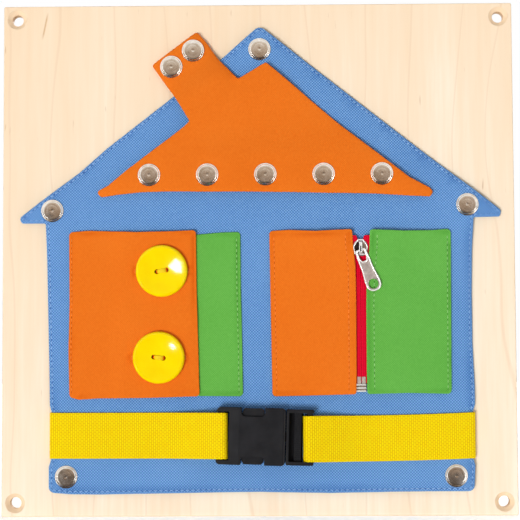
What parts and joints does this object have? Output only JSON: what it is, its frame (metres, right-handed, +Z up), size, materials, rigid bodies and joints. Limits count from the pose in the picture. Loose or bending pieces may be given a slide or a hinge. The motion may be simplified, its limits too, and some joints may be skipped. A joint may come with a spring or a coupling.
{
  "type": "fastening practice board",
  "caption": "Wall-hung plywood board with a cloth house held by press studs, whose roof, shutters and belt are opened with press studs, buttons, a zip and a side-release buckle.",
  "frame": {"origin": "middle of the board's back face, at the centre of the four wall screws", "axes": "+Z up, +X to the right as seen from the front, the face looks along -Y and the wall is at Y = 0"},
  "size_m": [0.34, 0.0262, 0.34],
  "materials": {
    "birch_plywood": "clear matt lacquer over pale vertical grain",
    "nickel_snap": "polished warm nickel",
    "blue_twill": "matt cotton twill",
    "orange_twill": "matt cotton twill",
    "green_twill": "matt cotton twill",
    "yellow_button": "polished",
    "yellow_thread": "twisted thread",
    "red_zip_tape": "woven tape",
    "red_zip_coil": "moulded coil",
    "zip_metal": "nickel plated",
    "yellow_webbing": "ribbed belt webbing",
    "black_buckle": "fine moulded grain"
  },
  "bodies": {
    "board": {"plywood_board": "birch_plywood", "board_screw_studs": "nickel_snap"},
    "house": {"house_front_cloth": "blue_twill", "house_backing_cloth": "blue_twill", "house_snap_caps": "nickel_snap", "house_snap_sockets": "nickel_snap", "eave_studs": "nickel_snap", "eave_stud_posts": "nickel_snap", "left_strap": "yellow_webbing", "right_strap": "yellow_webbing", "buckle_shell": "black_buckle"},
    "roof": {"roof_front_cloth": "orange_twill", "roof_backing_cloth": "orange_twill", "roof_snap_caps": "nickel_snap", "roof_snap_sockets": "nickel_snap"},
    "left_orange_shutter": {"orange_button_flap": "orange_twill"},
    "left_green_shutter": {"green_under_flap": "green_twill"},
    "upper_button": {"upper_button": "yellow_button", "upper_button_thread": "yellow_thread"},
    "lower_button": {"lower_button": "yellow_button", "lower_button_thread": "yellow_thread"},
    "right_orange_shutter": {"orange_zip_flap": "orange_twill", "zip_tape_left": "red_zip_tape", "zip_coil_left": "red_zip_coil", "zip_pin": "zip_metal"},
    "right_green_shutter": {"green_zip_flap": "green_twill", "zip_tape_right": "red_zip_tape", "zip_coil_right": "red_zip_coil", "zip_box": "zip_metal"},
    "zip_slider": {"zip_slider_body": "zip_metal", "zip_slider_bail": "zip_metal"},
    "zip_pull": {"zip_pull_tab": "zip_metal"},
    "buckle_plug": {"buckle_plug": "black_buckle"},
    "buckle_upper_arm": {"buckle_upper_arm": "black_buckle"},
    "buckle_lower_arm": {"buckle_lower_arm": "black_buckle"}
  },
  "joints": [
    {"name": "house_lift", "type": "slide", "parent": "board", "child": "house", "axis": [0, -1, 0], "range_m": [0, 0.05]},
    {"name": "roof_lift", "type": "slide", "parent": "house", "child": "roof", "axis": [0, -1, 0], "range_m": [0, 0.03]},
    {"name": "button_flap_hinge", "type": "hinge", "parent": "house", "child": "left_orange_shutter", "pos_m": [-0.1235, -0.01605, -0.0366], "axis": [0, 0, -1], "range_deg": [0, 150], "deforming": ["orange_button_flap"]},
    {"name": "under_flap_hinge", "type": "hinge", "parent": "house", "child": "left_green_shutter", "pos_m": [-0.012, -0.01605, -0.0366], "axis": [0, 0, 1], "range_deg": [0, 90]},
    {"name": "orange_zip_hinge", "type": "hinge", "parent": "house", "child": "right_orange_shutter", "pos_m": [0.009, -0.01605, -0.0366], "axis": [0, 0, -1], "range_deg": [0, 90]},
    {"name": "green_zip_hinge", "type": "hinge", "parent": "house", "child": "right_green_shutter", "pos_m": [0.1253, -0.01605, -0.0366], "axis": [0, 0, 1], "range_deg": [0, 150]},
    {"name": "zip_slide", "type": "slide", "parent": "right_green_shutter", "child": "zip_slider", "axis": [0, 0, -1], "range_m": [0, 0.077], "deforming": ["zip_tape_left", "zip_tape_right", "zip_coil_left", "zip_coil_right"]},
    {"name": "zip_pull_flip", "type": "hinge", "parent": "zip_slider", "child": "zip_pull", "pos_m": [0.0672, -0.0219, 0.00455], "axis": [-0.9421, 0, -0.3355], "range_deg": [0, 150]},
    {"name": "buckle_slide", "type": "slide", "parent": "house", "child": "buckle_plug", "axis": [0.9996, 0, -0.0297], "range_m": [0, 0.036], "deforming": ["right_strap", "buckle_upper_arm", "buckle_lower_arm"]},
    {"name": "upper_arm_press", "type": "hinge", "parent": "buckle_plug", "child": "buckle_upper_arm", "pos_m": [0.01614, -0.02075, -0.10606], "axis": [0, -1, 0], "range_deg": [0, 10], "stiffness_Nm_per_rad": 0.6},
    {"name": "lower_arm_press", "type": "hinge", "parent": "buckle_plug", "child": "buckle_lower_arm", "pos_m": [0.01546, -0.02075, -0.12905], "axis": [0, 1, 0], "range_deg": [0, 10], "stiffness_Nm_per_rad": 0.6},
    {"name": "upper_button_twist", "type": "hinge", "parent": "left_green_shutter", "child": "upper_button", "pos_m": [-0.0632, -0.01935, -0.0089], "axis": [0, -1, 0], "range_deg": [-30, 30]},
    {"name": "lower_button_twist", "type": "hinge", "parent": "left_green_shutter", "child": "lower_button", "pos_m": [-0.0652, -0.01935, -0.0656], "axis": [0, -1, 0], "range_deg": [-30, 30]}
  ]
}
